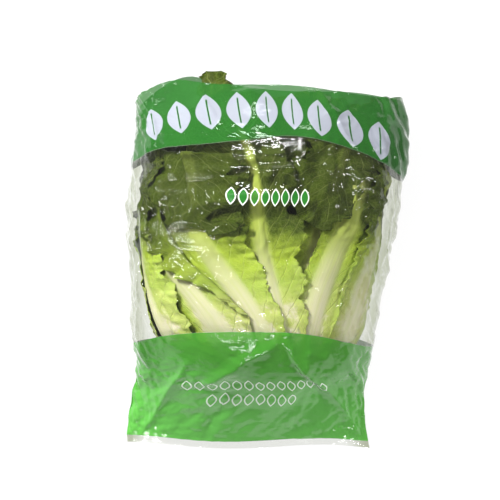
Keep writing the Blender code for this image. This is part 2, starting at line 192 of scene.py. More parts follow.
# The bag: y, half width, rim height, rise of the film above the rim, hump, centre x
BAG_STATIONS = (
    (-0.187, 0.125, 0.0016, 0.0008, 1.00, -0.013),
    (-0.165, 0.122, 0.0030, 0.0160, 1.90, -0.015),
    (-0.143, 0.119, 0.0060, 0.0440, 2.00, -0.017),
    (-0.113, 0.117, 0.0150, 0.0740, 1.40, -0.015),
    (-0.088, 0.120, 0.0260, 0.0800, 1.10, -0.013),
    (-0.063, 0.123, 0.0340, 0.0820, 1.00, -0.011),
    (-0.033, 0.126, 0.0400, 0.0820, 1.00, -0.008),
    (-0.005, 0.130, 0.0430, 0.0810, 1.00, -0.006),
    (0.022, 0.135, 0.0450, 0.0800, 1.00, -0.003),
    (0.057, 0.138, 0.0460, 0.0790, 1.00, 0.000),
    (0.107, 0.137, 0.0460, 0.0730, 1.00, 0.002),
    (0.142, 0.134, 0.0430, 0.0620, 1.00, 0.000),
    (0.185, 0.124, 0.0380, 0.0450, 1.00, -0.003),
)
BAG_FULLNESS = 0.11
BELLY_DEPTH = 1.06
BELLY_ROUND = 0.68
MOUTH_PEAK = (-0.075, 0.182)
MOUTH_LEFT_DROP = 13.0
MOUTH_RIGHT_SLOPE = 0.146
MOUTH_STEP = 0.004
FILM_ROWS = 300
FILM_TOP_COLUMNS = 200
FILM_UNDER_COLUMNS = 60
# Film lies this far off the leaves where they press it, on a grid this fine
FILM_OFF_LEAVES = 0.0009
STRETCH_CELL = 0.002
STRETCH_ROUNDS = 420

# The bend of space that makes the head uneven
WANDER = 0.0045
WANDER_LENGTH = 0.125
WANDER_FULL_Z = 0.050
WANDER_WAVES = 7
SEED = 12

# Leaf points lower than this are pressed up, down to the least height over the floor
LOW_POINT = 0.005
LEAST_HEIGHT = 0.0010
LONGEST_LEAF = 0.29

# The print: each band's edge is level over a stretch and then falls away to both sides.
# Centre x, half the level stretch, how steeply it falls left and right, and its y.
Edge = namedtuple("Edge", "centre flat left_drop right_drop y")
TOP_BAND_EDGE = Edge(-0.014, 0.012, 2.75, 1.95, 0.1165)
LOW_BAND_EDGE = Edge(0.010, 0.0, 0.43, 1.9, -0.0705)
TOP_ROW = Edge(-0.045, 0.0, 5.6, 1.52, 0.149)
PRINT_EDGE = 0.0003
# Rows of leaf marks: the step from mark to mark, and half a mark's length and width
TOP_MARK = (0.0285, 0.0190, 0.0118)
TOP_MARK_SLIT = 0.0010
TOP_ROW_REACH = 0.1275
LOW_MARK_STEP = 0.01118
LOW_ROWS = ((-0.126, -0.0848, 0.0605), (-0.143, -0.0624, 0.0269))
WINDOW_MARK_STEP = 0.01110
WINDOW_ROW = (-0.0500, 0.0390)


def smooth_through(stations, at):
    """Columns of the stations at any place, on a cubic curve without overshoot."""
    table = np.array(stations, float)
    x, y = table[:, 0], table[:, 1:]
    step = np.diff(x)[:, None]
    secant = np.diff(y, axis=0) / step
    slope = np.zeros_like(y)
    same_way = secant[:-1] * secant[1:] > 0
    mean = 2 * secant[:-1] * secant[1:] / np.where(same_way, secant[:-1] + secant[1:], 1)
    slope[1:-1] = np.where(same_way, mean, 0)
    slope[0], slope[-1] = secant[0], secant[-1]
    at = np.clip(np.asarray(at, float), x[0], x[-1])
    i = np.clip(np.searchsorted(x, at, side="right") - 1, 0, len(x) - 2)
    h = (x[i + 1] - x[i])[..., None]
    t = (at - x[i])[..., None] / h
    value = (
        (1 + 2 * t) * (1 - t) ** 2 * y[i]
        + t * (1 - t) ** 2 * h * slope[i]
        + t**2 * (3 - 2 * t) * y[i + 1]
        + t**2 * (t - 1) * h * slope[i + 1]
    )
    return np.moveaxis(value, -1, 0)


def smoothstep(low, high, x):
    t = np.clip((x - low) / (high - low), 0, 1)
    return t * t * (3 - 2 * t)


def noise(x, y, seed):
    """Smooth noise from -1 to 1 over a plane, a unit from hill to hill."""
    table = np.random.default_rng(seed).uniform(-1, 1, (64, 64))
    i, j = np.floor(x).astype(int), np.floor(y).astype(int)
    u, v = x - i, y - j
    u, v = u * u * (3 - 2 * u), v * v * (3 - 2 * v)
    a, b = table[i % 64, j % 64], table[(i + 1) % 64, j % 64]
    c, d = table[i % 64, (j + 1) % 64], table[(i + 1) % 64, (j + 1) % 64]
    return (a * (1 - u) + b * u) * (1 - v) + (c * (1 - u) + d * u) * v


def rough(x, y, seed, octaves=3):
    """Noise with finer noise on it."""
    total = np.zeros_like(x)
    for k in range(octaves):
        total += noise(x * 2**k + 17.3 * k, y * 2**k + 9.1 * k, seed + k) / 2**k
    return total


def make_waves():
    """Directions, phases and pushes of the sine waves that bend space."""
    draw = np.random.default_rng(SEED)
    direction = draw.normal(size=(WANDER_WAVES, 3))
    direction /= np.linalg.norm(direction, axis=1)[:, None]
    push = draw.normal(size=(WANDER_WAVES, 3))
    push /= np.linalg.norm(push, axis=1)[:, None]
    length = WANDER_LENGTH * draw.uniform(0.8, 1.6, WANDER_WAVES)
    phase = draw.uniform(0, 2 * math.pi, WANDER_WAVES)
    return direction * (2 * math.pi / length)[:, None], phase, push


WAVES = make_waves()


def bend_space(points):
    number, phase, push = WAVES
    amount = WANDER * math.sqrt(3 / WANDER_WAVES)
    shift = np.sin(points @ number.T + phase) @ push * amount
    shift[..., 2] *= np.clip(points[..., 2] / WANDER_FULL_Z, 0, 1)
    return points + shift


def head_section(y, angle):
    half_width, rise, drop, axis_x, axis_z = smooth_through(HEAD_STATIONS, y)
    height = np.where(np.sin(angle) >= 0, rise, drop)
    return half_width, height, axis_x, axis_z


def shell_point(angle, y, shell):
    half_width, height, axis_x, axis_z = head_section(y, angle)
    full = shell * (1 + FULLNESS * np.sin(2 * angle) ** 2)
    x = axis_x + half_width * full * np.cos(angle)
    z = axis_z + height * full * np.sin(angle)
    return np.stack([x, y, z], axis=-1)


def shell_depth(angle, y):
    half_width, height, _, _ = head_section(y, angle)
    return half_width * height / np.hypot(height * np.cos(angle), half_width * np.sin(angle))


def walk_round(angle, y, shell, distance, steps=12):
    """The angle reached from angle after walking distance round a shell, clockwise on top."""
    turn = 0.02
    for _ in range(steps):
        chord = shell_point(angle + turn, y, shell) - shell_point(angle - turn, y, shell)
        angle = angle - distance / steps * 2 * turn / np.linalg.norm(chord, axis=-1)
    return angle


def rib_angle(leaf, y):
    fanned = leaf.base + (leaf.tip - leaf.base) * smoothstep(*FAN_Y, y)
    return np.radians(fanned + leaf.lean * smoothstep(*LEAN_Y, y))


def place_in_ring(ring, angle, y):
    """Counts round the ring: a whole number on each leaf's rib, and shares in between."""
    ribs = [rib_angle(leaf, y) for leaf in RINGS[ring]]
    place = np.zeros_like(angle)
    turn = 2 * math.pi
    for i, rib in enumerate(ribs):
        following = ribs[i + 1] if i + 1 < len(ribs) else ribs[0] + turn
        past = (angle - rib) % turn
        place = np.where(past < (following - rib) % turn, i + past / ((following - rib) % turn), place)
    return place


def zigzag(x):
    return 1 - 2 * np.abs((x % 2) - 1)


def rib_profile(leaf, along):
    width, rise = smooth_through(RIB_STATIONS, along)
    return leaf.rib_width / 2 * width, leaf.ring.rib_rise * rise


def leaf_length(leaf):
    return leaf.tip_y - leaf.ring.base_y


def leaf_seed(leaf):
    return int(leaf.ring.shell * 1000) + leaf.number * 37


def tooth(x):
    """One pointed tooth for each unit of x, leaning forward."""
    share = x % 1
    return np.where(share < 0.72, share / 0.72, (1 - share) / 0.28)


def half_outline(leaf, along, side):
    """Half width at a share of the leaf's length, with lobes and teeth. side is -1 or 1."""
    seed = leaf_seed(leaf) + (3 if side > 0 else 0)
    flat = np.zeros_like(along)
    share = smooth_through(OUTLINE_STATIONS, along)[0]
    lobes = zigzag(along * leaf.ring.lobes + (0.5 - side / 2) + 0.35 * noise(along * 9, flat, seed))
    lobes = lobes * (0.75 + 0.5 * noise(along * 11, flat + 4, seed))
    lobed = smoothstep(0.10, 0.30, along) * LOBE_DEPTH
    metres = along * (leaf_length(leaf) + leaf.flap)
    upper = smoothstep(0.30, 0.60, along)
    scallop = tooth(metres / 0.021 + 0.8 * noise(metres / 0.05, flat + 6, seed)) - 0.5
    teeth = tooth(metres / 0.0085 + 0.9 * noise(metres / 0.03, flat + 8, seed)) - 0.5
    fine = tooth(metres / 0.0042) - 0.5
    uneven = 0.8 + 0.6 * noise(metres / 0.019, flat + 12, seed)
    notch = smoothstep(0.18, 0.68, noise(metres / 0.012 + 3, flat + 20, seed)) * smoothstep(0.42, 0.6, along)
    edge = 0.0060 * upper * scallop + 0.0028 * uneven * teeth + 0.0010 * fine - 0.015 * notch
    tip_teeth = 0.3 if leaf.flap == 0 else 2.2
    edge = edge * smoothstep(0.10, 0.28, along) * (1 + (tip_teeth - 1) * smoothstep(0.88, 0.96, along))
    edge = edge * np.clip(leaf.half_width / 0.045, 0.4, 1)
    wing = leaf.left if side < 0 else leaf.right
    share = share * (1 + (wing - 1) * (smoothstep(0.0, 0.15, along) - smoothstep(0.42, 0.62, along)))
    width = leaf.half_width * share * (1 + lobes * lobed) + edge
    return np.maximum(width, rib_profile(leaf, along)[0] + RIB_MARGIN)


def leaf_flat_grid(leaf):
    """Share along, metres along and metres across at each point of the leaf drawn flat."""
    ring = leaf.ring
    along = np.linspace(0, 1, ring.rows + 1)
    rib = rib_profile(leaf, along)[0]
    on_rib = np.linspace(0, 1, ring.columns // 6 + 1)
    on_wing = np.linspace(0, 1, ring.columns // 2 - ring.columns // 6 + 1)[1:]
    halves = []
    for side in (-1, 1):
        edge = half_outline(leaf, along, side)
        inner = rib[:, None] * on_rib[1:]
        outer = rib[:, None] + (edge - rib)[:, None] * on_wing
        halves.append(side * np.concatenate([inner, outer], axis=1))
    across = np.concatenate([halves[0][:, ::-1], np.zeros((len(along), 1)), halves[1]], axis=1)
    along = np.repeat(along[:, None], across.shape[1], axis=1)
    return along, along * (leaf_length(leaf) + leaf.flap), across


def leaf_relief(leaf, along, metres, across):
    """Height of blisters, frills and curled margins over the leaf's smooth surface."""
    seed = leaf_seed(leaf)
    rib, _ = rib_profile(leaf, along)
    off_rib = smoothstep(0.8, 2.2, np.abs(across) / rib)
    reach = np.clip(np.abs(across) / leaf.half_width, 0, 1.2)
    upper = smoothstep(0.35, 0.75, along)
    blister = np.abs(noise(metres / 0.0105, across / 0.0080, seed)) - 0.3
    small = np.abs(noise(metres / 0.0050, across / 0.0045, seed + 5)) - 0.3
    crumple = rough(metres / 0.030, across / 0.026, seed + 9, 2)
    wave = metres / 0.0150 + np.sign(across) * 0.3 + 1.3 * noise(metres / 0.03, across / 0.05, seed + 2)
    frill = reach**2.2 * np.sin(2 * math.pi * wave)
    low_frill = smoothstep(0.05, 0.25, along) * (0.0024 - 0.0006 * upper)
    facets = 1 - 2 * np.abs(noise(metres / 0.015 + across / 0.05, across / 0.012, seed + 13))
    small_wave = metres / 0.0068 + 0.8 * noise(metres / 0.02, across / 0.1, seed + 17)
    ruffle = reach**3 * np.sin(2 * math.pi * small_wave)
    height = off_rib * (0.0014 * blister + 0.0007 * small + (0.0004 + 0.0012 * upper) * crumple)
    droop = 0.0024 * reach**2 * smoothstep(0.10, 0.25, along) * (1 - smoothstep(0.40, 0.55, along))
    height = height + low_frill * frill + 0.0009 * smoothstep(0.05, 0.2, along) * ruffle
    return height + 0.0024 * upper * off_rib * facets - droop


def margin_curl(leaf, along, metres, across):
    """Height of the margins where they turn up off the head."""
    reach = np.clip(np.abs(across) / leaf.half_width, 0, 1.2)
    curled = np.clip(noise(metres / 0.022, across / 0.2, leaf_seed(leaf) + 31), -0.2, 1)
    return 0.0060 * smoothstep(0.25, 0.6, along) * reach**3 * curled


def common_crumple(angle, y):
    """Creases that run through all the leaves at once, so that they stay clear of each other."""
    around = angle * 0.11
    ridges = 1 - np.abs(noise(around / 0.034 + y / 0.08, y / 0.038, 301)) * 2
    folds = 1 - np.abs(noise(around / 0.019 - y / 0.05, y / 0.023 + 7, 302)) * 2
    small = 1 - np.abs(noise(around / 0.011 + y / 0.04, y / 0.013 + 3, 303)) * 2
    return smoothstep(-0.03, 0.06, y) * (0.0046 * ridges + 0.0036 * folds + 0.0020 * small - 0.0034)


def fold_back(leaf, metres, across, height):
    """Turns the blade beyond each crease back over itself, round a rod of the fold's radius."""
    for fold in leaf.folds:
        cos, sin = math.cos(math.radians(fold.turn)), math.sin(math.radians(fold.turn))
        past = (metres - fold.along) * cos + (across - fold.across) * sin
        bend = np.clip(past / fold.radius, 0, math.pi)
        beyond = np.maximum(past - math.pi * fold.radius, 0)
        arm = fold.radius - np.minimum(height, fold.radius * 0.9)
        kept = np.where(past > 0, arm * np.sin(bend) - beyond, past)
        turned = fold.radius - arm * np.cos(bend) + 0.03 * beyond
        height = np.where(past > 0, turned, height)
        metres, across = metres + (kept - past) * cos, across + (kept - past) * sin
    return metres, across, height


def lay_on_head(leaf, metres, across, height):
    """Places flat points on the leaf's shell, a height above it."""
    ring = leaf.ring
    y = ring.base_y + metres
    angle = walk_round(rib_angle(leaf, y), y, ring.shell, across)
    count = len(RINGS[ring])
    passed = (leaf.number - place_in_ring(ring, angle, y) + count / 2) % count - count / 2
    tile = smooth_through(TILE_STATIONS, y)[0] * ring.tiling * passed
    raised = leaf.lift * smoothstep(-0.115, -0.04, y) * (1 - smoothstep(0.06, 0.14, y))
    free = PRESSED_SHARE + (1 - PRESSED_SHARE) * smoothstep(*PRESSED_SINE, np.sin(angle))
    point = shell_point(angle, y, ring.shell + (tile + height * free + raised) / shell_depth(angle, y))
    half_width, rise, _, _ = head_section(y, angle)
    outward = np.stack([np.cos(angle) / half_width, np.zeros_like(y), np.sin(angle) / rise], axis=-1)
    outward /= np.linalg.norm(outward, axis=-1, keepdims=True)
    return point + outward * (common_crumple(angle, y) * ring.shell * free)[..., None]


def grid_normals(points):
    along = np.gradient(points, axis=0)
    across = np.gradient(points, axis=1)
    normal = np.cross(across, along)
    return normal / np.maximum(np.linalg.norm(normal, axis=-1, keepdims=True), 1e-9)


def closed_sheet(outer, inner):
    """Points and four-sided faces of a thin solid between two like grids."""
    rows, columns = outer.shape[:2]
    size = rows * columns
    index = np.arange(size).reshape(rows, columns)
    quad = [index[:-1, :-1], index[:-1, 1:], index[1:, 1:], index[1:, :-1]]
    top = np.stack([part.ravel() for part in quad], 1)
    border = np.concatenate([index[0, :-1], index[:-1, -1], index[-1, :0:-1], index[:0:-1, 0]])
    after = np.roll(border, -1)
    rim = np.stack([border, border + size, after + size, after], 1)
    points = np.concatenate([outer.reshape(-1, 3), inner.reshape(-1, 3)])
    return points, np.concatenate([top, top[:, ::-1] + size, rim])


def tube_faces(rows, columns):
    """Four-sided faces of a tube, from one ring of points to the next."""
    index = np.arange(rows * columns).reshape(rows, columns)
    after = np.roll(index, -1, axis=1)
    return np.stack([index[:-1].ravel(), index[1:].ravel(), after[1:].ravel(), after[:-1].ravel()], 1)


def add_mesh(name, points, quads, attributes=None):
    """A smooth object from points and four-sided faces, with values or vectors on its points."""
    mesh = bpy.data.meshes.new(name)
    mesh.vertices.add(len(points))
    mesh.vertices.foreach_set("co", np.asarray(points, np.float32).ravel())
    mesh.loops.add(quads.size)
    mesh.loops.foreach_set("vertex_index", quads.astype(np.int32).ravel())
    mesh.polygons.add(len(quads))
    mesh.polygons.foreach_set("loop_start", np.arange(0, quads.size, 4, dtype=np.int32))
    mesh.update(calc_edges=True)
    mesh.shade_smooth()
    for key, values in (attributes or {}).items():
        kind = "FLOAT" if values.ndim == 1 else "FLOAT_VECTOR"
        layer = mesh.attributes.new(key, kind, "POINT")
        layer.data.foreach_set("value" if values.ndim == 1 else "vector", values.astype(np.float32).ravel())
    mesh.validate()
    obj = bpy.data.objects.new(name, mesh)
    bpy.context.scene.collection.objects.link(obj)
    return obj


def finish_piece(obj, material, slot, *nodes):
    obj.data.materials.append(material)
    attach(obj, "root")
    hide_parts(*nodes)
    return obj


def crown_loops(sides):
    """Rings of points round the cut stem, from the cut to its point among the leaf bases."""
    angle = np.linspace(0, 2 * math.pi, sides, endpoint=False)
    axis_x, axis_z = smooth_through(HEAD_STATIONS, np.array([OUTER.base_y]))[3:, 0]
    loops = []
    for step, share in STUB_STEPS:
        x = axis_x + CUT_RADIUS[0] * share * np.cos(angle)
        z = axis_z + CUT_RADIUS[1] * share * np.sin(angle)
        loops.append(np.stack([x, np.full_like(x, BUTT_Y + step), z], 1))
    for ring in RINGS:
        y = np.full_like(angle, ring.base_y)
        loops.append(shell_point(angle, y, ring.shell - CROWN_ROOM / shell_depth(angle, y)))
    loops.append(shell_point(angle, np.full_like(angle, HEART.base_y + CROWN_TIP[0]), CROWN_TIP[1]))
    return bend_space(np.array(loops))


def shift_to_frame():
    """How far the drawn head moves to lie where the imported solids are."""
    drawn = crown_loops(CROWN_SIDES).reshape(-1, 3)
    packed = np.array([list(corner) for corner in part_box("crown")])
    return (packed[0] + packed[1] - drawn.min(axis=0) - drawn.max(axis=0)) / 2


SHIFT = shift_to_frame()


def to_frame(points):
    return bend_space(points) + SHIFT


def rest_on_floor(points):
    """Presses what would hang under the floor flat upon it."""
    z = points[:, 2]
    room = LOW_POINT - LEAST_HEIGHT
    pressed = LEAST_HEIGHT + room * np.exp(np.minimum(z - LOW_POINT, 0) / room)
    points[:, 2] = np.where(z < LOW_POINT, pressed, z)
    return points


class Nodes:
    """Builds a material's node tree from short calls."""

    def __init__(self, name):
        self.material = bpy.data.materials.new(name)
        self.material.use_nodes = True
        self.tree = self.material.node_tree
        self.tree.nodes.clear()

    def add(self, kind, inputs=None, **settings):
        node = self.tree.nodes.new(kind)
        for key, value in settings.items():
            setattr(node, key, value)
        for key, value in (inputs or {}).items():
            self.put(node.inputs[key], value)
        return node

    def put(self, socket, value):
        if isinstance(value, bpy.types.NodeSocket):
            self.tree.links.new(value, socket)
        elif socket.type == "RGBA" and len(value) == 3:
            socket.default_value = (*value, 1)
        else:
            socket.default_value = value

    def math(self, operation, a, b=0.0, c=0.0, clamp=False):
        inputs = {0: a, 1: b}
        if operation == "MULTIPLY_ADD":
            inputs[2] = c
        return self.add("ShaderNodeMath", inputs, operation=operation, use_clamp=clamp).outputs[0]

    def step(self, value, low, high):
        """0 below low, 1 above high and smooth between. low may be the higher one."""
        node = self.add("ShaderNodeMapRange", {0: value, 1: low, 2: high}, interpolation_type="SMOOTHSTEP")
        return node.outputs[0]

    def mix(self, share, a, b, blend="MIX"):
        node = self.add("ShaderNodeMix", data_type="RGBA", blend_type=blend)
        for key, value in ((0, share), (6, a), (7, b)):
            self.put(node.inputs[key], value)
        return node.outputs[2]

    def attribute(self, name, output="Fac"):
        return self.add("ShaderNodeAttribute", attribute_name=name).outputs[output]

    def split(self, vector):
        return self.add("ShaderNodeSeparateXYZ", {0: vector}).outputs

    def noise(self, vector, scale, detail=2.0, roughness=0.5, output="Fac"):
        inputs = {"Vector": vector, "Scale": scale, "Detail": detail, "Roughness": roughness}
        return self.add("ShaderNodeTexNoise", inputs).outputs[output]

    def veins(self, vector, scale):
        """Distance from the nearest cell wall of a net, from 0."""
        inputs = {"Vector": vector, "Scale": scale}
        return self.add("ShaderNodeTexVoronoi", inputs, feature="DISTANCE_TO_EDGE").outputs["Distance"]

    def bump(self, height, distance, strength=1.0, normal=None):
        inputs = {"Strength": strength, "Distance": distance, "Height": height}
        if normal is not None:
            inputs["Normal"] = normal
        return self.add("ShaderNodeBump", inputs).outputs[0]

    def finish(self, shader):
        output = self.add("ShaderNodeOutputMaterial")
        self.tree.links.new(shader, output.inputs[0])
        return self.material


def srgb(red, green, blue):
    """A colour given as on screen, in Blender's linear numbers."""
    values = []
    for value in (red, green, blue):
        share = value / 255
        values.append(share / 12.92 if share <= 0.04045 else ((share + 0.055) / 1.055) ** 2.4)
    return tuple(values)


def leaf_material(size):
    """Cream rib, yellow-green wings low down and olive blade above, with a net of veins."""
    n = Nodes("chicory_leaf")
    flat = n.attribute("flat", "Vector")
    across, along, _ = n.split(flat)
    rib = n.attribute("rib")
    # green grades the blade's colour, and on the widened left wings it also carries painted shade
    green = n.attribute("green")
    shade = n.noise(flat, 38.0, 3.0)
    patch = n.noise(flat, 150.0, 3.0, 0.6)
    grade = n.math("ADD", green, n.math("MULTIPLY", n.math("SUBTRACT", shade, 0.5), 0.42))
    grade = n.math("ADD", grade, n.math("MULTIPLY", n.math("SUBTRACT", patch, 0.5), 0.26))
    ramp = n.add("ShaderNodeValToRGB", {0: grade})
    stops = (
        (0.00, size.rib_colour),
        (0.08, size.wing_colour),
        (0.26, size.low_colour),
        (0.55, size.middle_colour),
        (0.86, size.blade_colour),
        (1.00, size.tip_colour),
    )
    while len(ramp.color_ramp.elements) < len(stops):
        ramp.color_ramp.elements.new(0.5)
    for element, (place, colour) in zip(ramp.color_ramp.elements, stops):
        element.position = place
        element.color = (*colour, 1)
    blade = ramp.outputs[0]

    outward = n.math("ABSOLUTE", across)
    branch = n.math("SUBTRACT", along, n.math("MULTIPLY", outward, 1.25))
    branch = n.math("MULTIPLY_ADD", n.math("SUBTRACT", n.noise(flat, 45.0), 0.5), 0.014, branch)
    wave = n.math("PINGPONG", branch, 0.0085)
    side_vein = n.step(wave, 0.0011, 0.0001)
    net = n.step(n.veins(flat, 210.0), 0.10, 0.02)
    fine_net = n.step(n.veins(flat, 520.0), 0.12, 0.02)
    vein = n.math("MAXIMUM", side_vein, n.math("MULTIPLY", net, 0.32))
    pale = n.mix(0.5, blade, size.vein_colour)
    blade = n.mix(n.math("MULTIPLY", vein, n.math("MULTIPLY_ADD", green, -0.22, 0.52)), blade, pale)
    blade = n.mix(n.math("MULTIPLY", fine_net, 0.12), blade, pale)

    inside = n.attribute("inside")
    blade = n.mix(n.math("MULTIPLY", inside, 0.30), blade, size.blade_colour)
    rib_tone = n.math("MAXIMUM", n.step(green, -0.05, 0.80), n.math("MULTIPLY", inside, 0.85))
    rib_colour = n.mix(rib_tone, size.rib_colour, size.rib_tip_colour)
    rib = n.math("MULTIPLY", rib, n.math("MULTIPLY_ADD", inside, -0.86, 1.0))
    stripe_place = n.add("ShaderNodeMapping", {"Vector": flat, "Scale": (900.0, 22.0, 1.0)}).outputs[0]
    stripes = n.noise(stripe_place, 1.0, 2.0)
    # Broad greener streaks down the ribs: painted shading along their rounded ridges
    rib_shading_place = n.add("ShaderNodeMapping", {"Vector": flat, "Scale": (260.0, 9.0, 1.0)}).outputs[0]
    rib_shading_streaks = n.step(n.noise(rib_shading_place, 1.0, 2.0), 0.42, 0.72)
    rib_colour = n.mix(n.math("MULTIPLY", rib_shading_streaks, 0.34), rib_colour, size.wing_colour)
    rib_colour = n.mix(n.math("MULTIPLY", stripes, 0.16), rib_colour, size.low_colour)
    colour = n.mix(rib, blade, rib_colour)
    bruise = n.step(n.noise(flat, 70.0, 4.0, 0.7), 0.70, 0.80)
    colour = n.mix(n.math("MULTIPLY", bruise, 0.25), colour, srgb(120, 95, 40))

    puffed = n.math("SUBTRACT", 1.0, vein)
    height = n.math("MULTIPLY_ADD", n.noise(flat, 260.0, 3.0, 0.6), 0.8, puffed)
    height = n.math("MULTIPLY", height, n.math("SUBTRACT", 1.0, rib))
    height = n.math("MULTIPLY_ADD", stripes, n.math("MULTIPLY", rib, 0.5), height)
    normal = n.bump(height, 0.0006, 0.9)
    rough_amount = n.math("MULTIPLY_ADD", patch, 0.25, 0.34)
    shader = n.add(
        "ShaderNodeBsdfPrincipled",
        {
            "Base Color": colour,
            "Roughness": rough_amount,
            "Normal": normal,
            "Subsurface Weight": 0.22,
            "Subsurface Radius": (0.35, 0.5, 0.12),
            "Subsurface Scale": 0.004,
            "Specular IOR Level": 0.22,
        },
    )
    return n.finish(shader.outputs[0])


def stem_material(size):
    """A pale cut face, browned at its rim and in rings."""
    n = Nodes("cut_stem")
    place = n.add("ShaderNodeTexCoord").outputs["Object"]
    patch = n.noise(place, 120.0, 4.0, 0.65)
    rings = n.noise(n.attribute("ring", "Vector"), 9.0, 2.0)
    colour = n.mix(patch, size.stem_colour, size.rib_colour)
    colour = n.mix(n.math("MULTIPLY", n.step(rings, 0.5, 0.8), 0.5), colour, srgb(150, 105, 60))
    normal = n.bump(patch, 0.0006)
    inputs = {"Base Color": colour, "Roughness": 0.62, "Normal": normal, "Subsurface Weight": 0.1}
    return n.finish(n.add("ShaderNodeBsdfPrincipled", inputs).outputs[0])


def arched_edge(n, x, edge):
    """A printed edge's y at x: level over a stretch, then falling to both sides."""
    off = n.math("SUBTRACT", x, edge.centre)
    left = n.math("MAXIMUM", n.math("SUBTRACT", n.math("MULTIPLY", off, -1.0), edge.flat), 0.0)
    right = n.math("MAXIMUM", n.math("SUBTRACT", off, edge.flat), 0.0)
    left = n.math("MULTIPLY", n.math("MULTIPLY", left, left), edge.left_drop)
    right = n.math("MULTIPLY", n.math("MULTIPLY", right, right), edge.right_drop)
    return n.math("SUBTRACT", edge.y, n.math("ADD", left, right))


def leaf_marks(n, x, y, spacing, half_length, half_width, slit):
    """A row of plain pointed leaf shapes, 1 inside them, with a slit down each one's middle."""
    cell = n.math("SUBTRACT", n.math("FLOORED_MODULO", x, spacing), spacing / 2)
    reach = n.math("DIVIDE", y, half_length)
    width = n.math("MULTIPLY", n.math("SUBTRACT", 1.0, n.math("MULTIPLY", reach, reach)), half_width)
    beside = n.math("ABSOLUTE", cell)
    inside = n.step(n.math("SUBTRACT", width, beside), -0.0002, 0.0003)
    if slit:
        line = n.step(beside, slit, slit * 0.6)
        line = n.math("MULTIPLY", line, n.step(n.math("ABSOLUTE", reach), 0.75, 0.65))
        inside = n.math("MULTIPLY", inside, n.math("SUBTRACT", 1.0, line))
    return inside


def past_edge(n, value, edge=0.0):
    """1 where the value is past a printed edge, with the edge's slight softness."""
    return n.step(value, edge - PRINT_EDGE, edge + PRINT_EDGE)


def between(n, value, low, high):
    above_low = past_edge(n, value, low)
    return n.math("MULTIPLY", above_low, n.step(value, high + PRINT_EDGE, high - PRINT_EDGE))


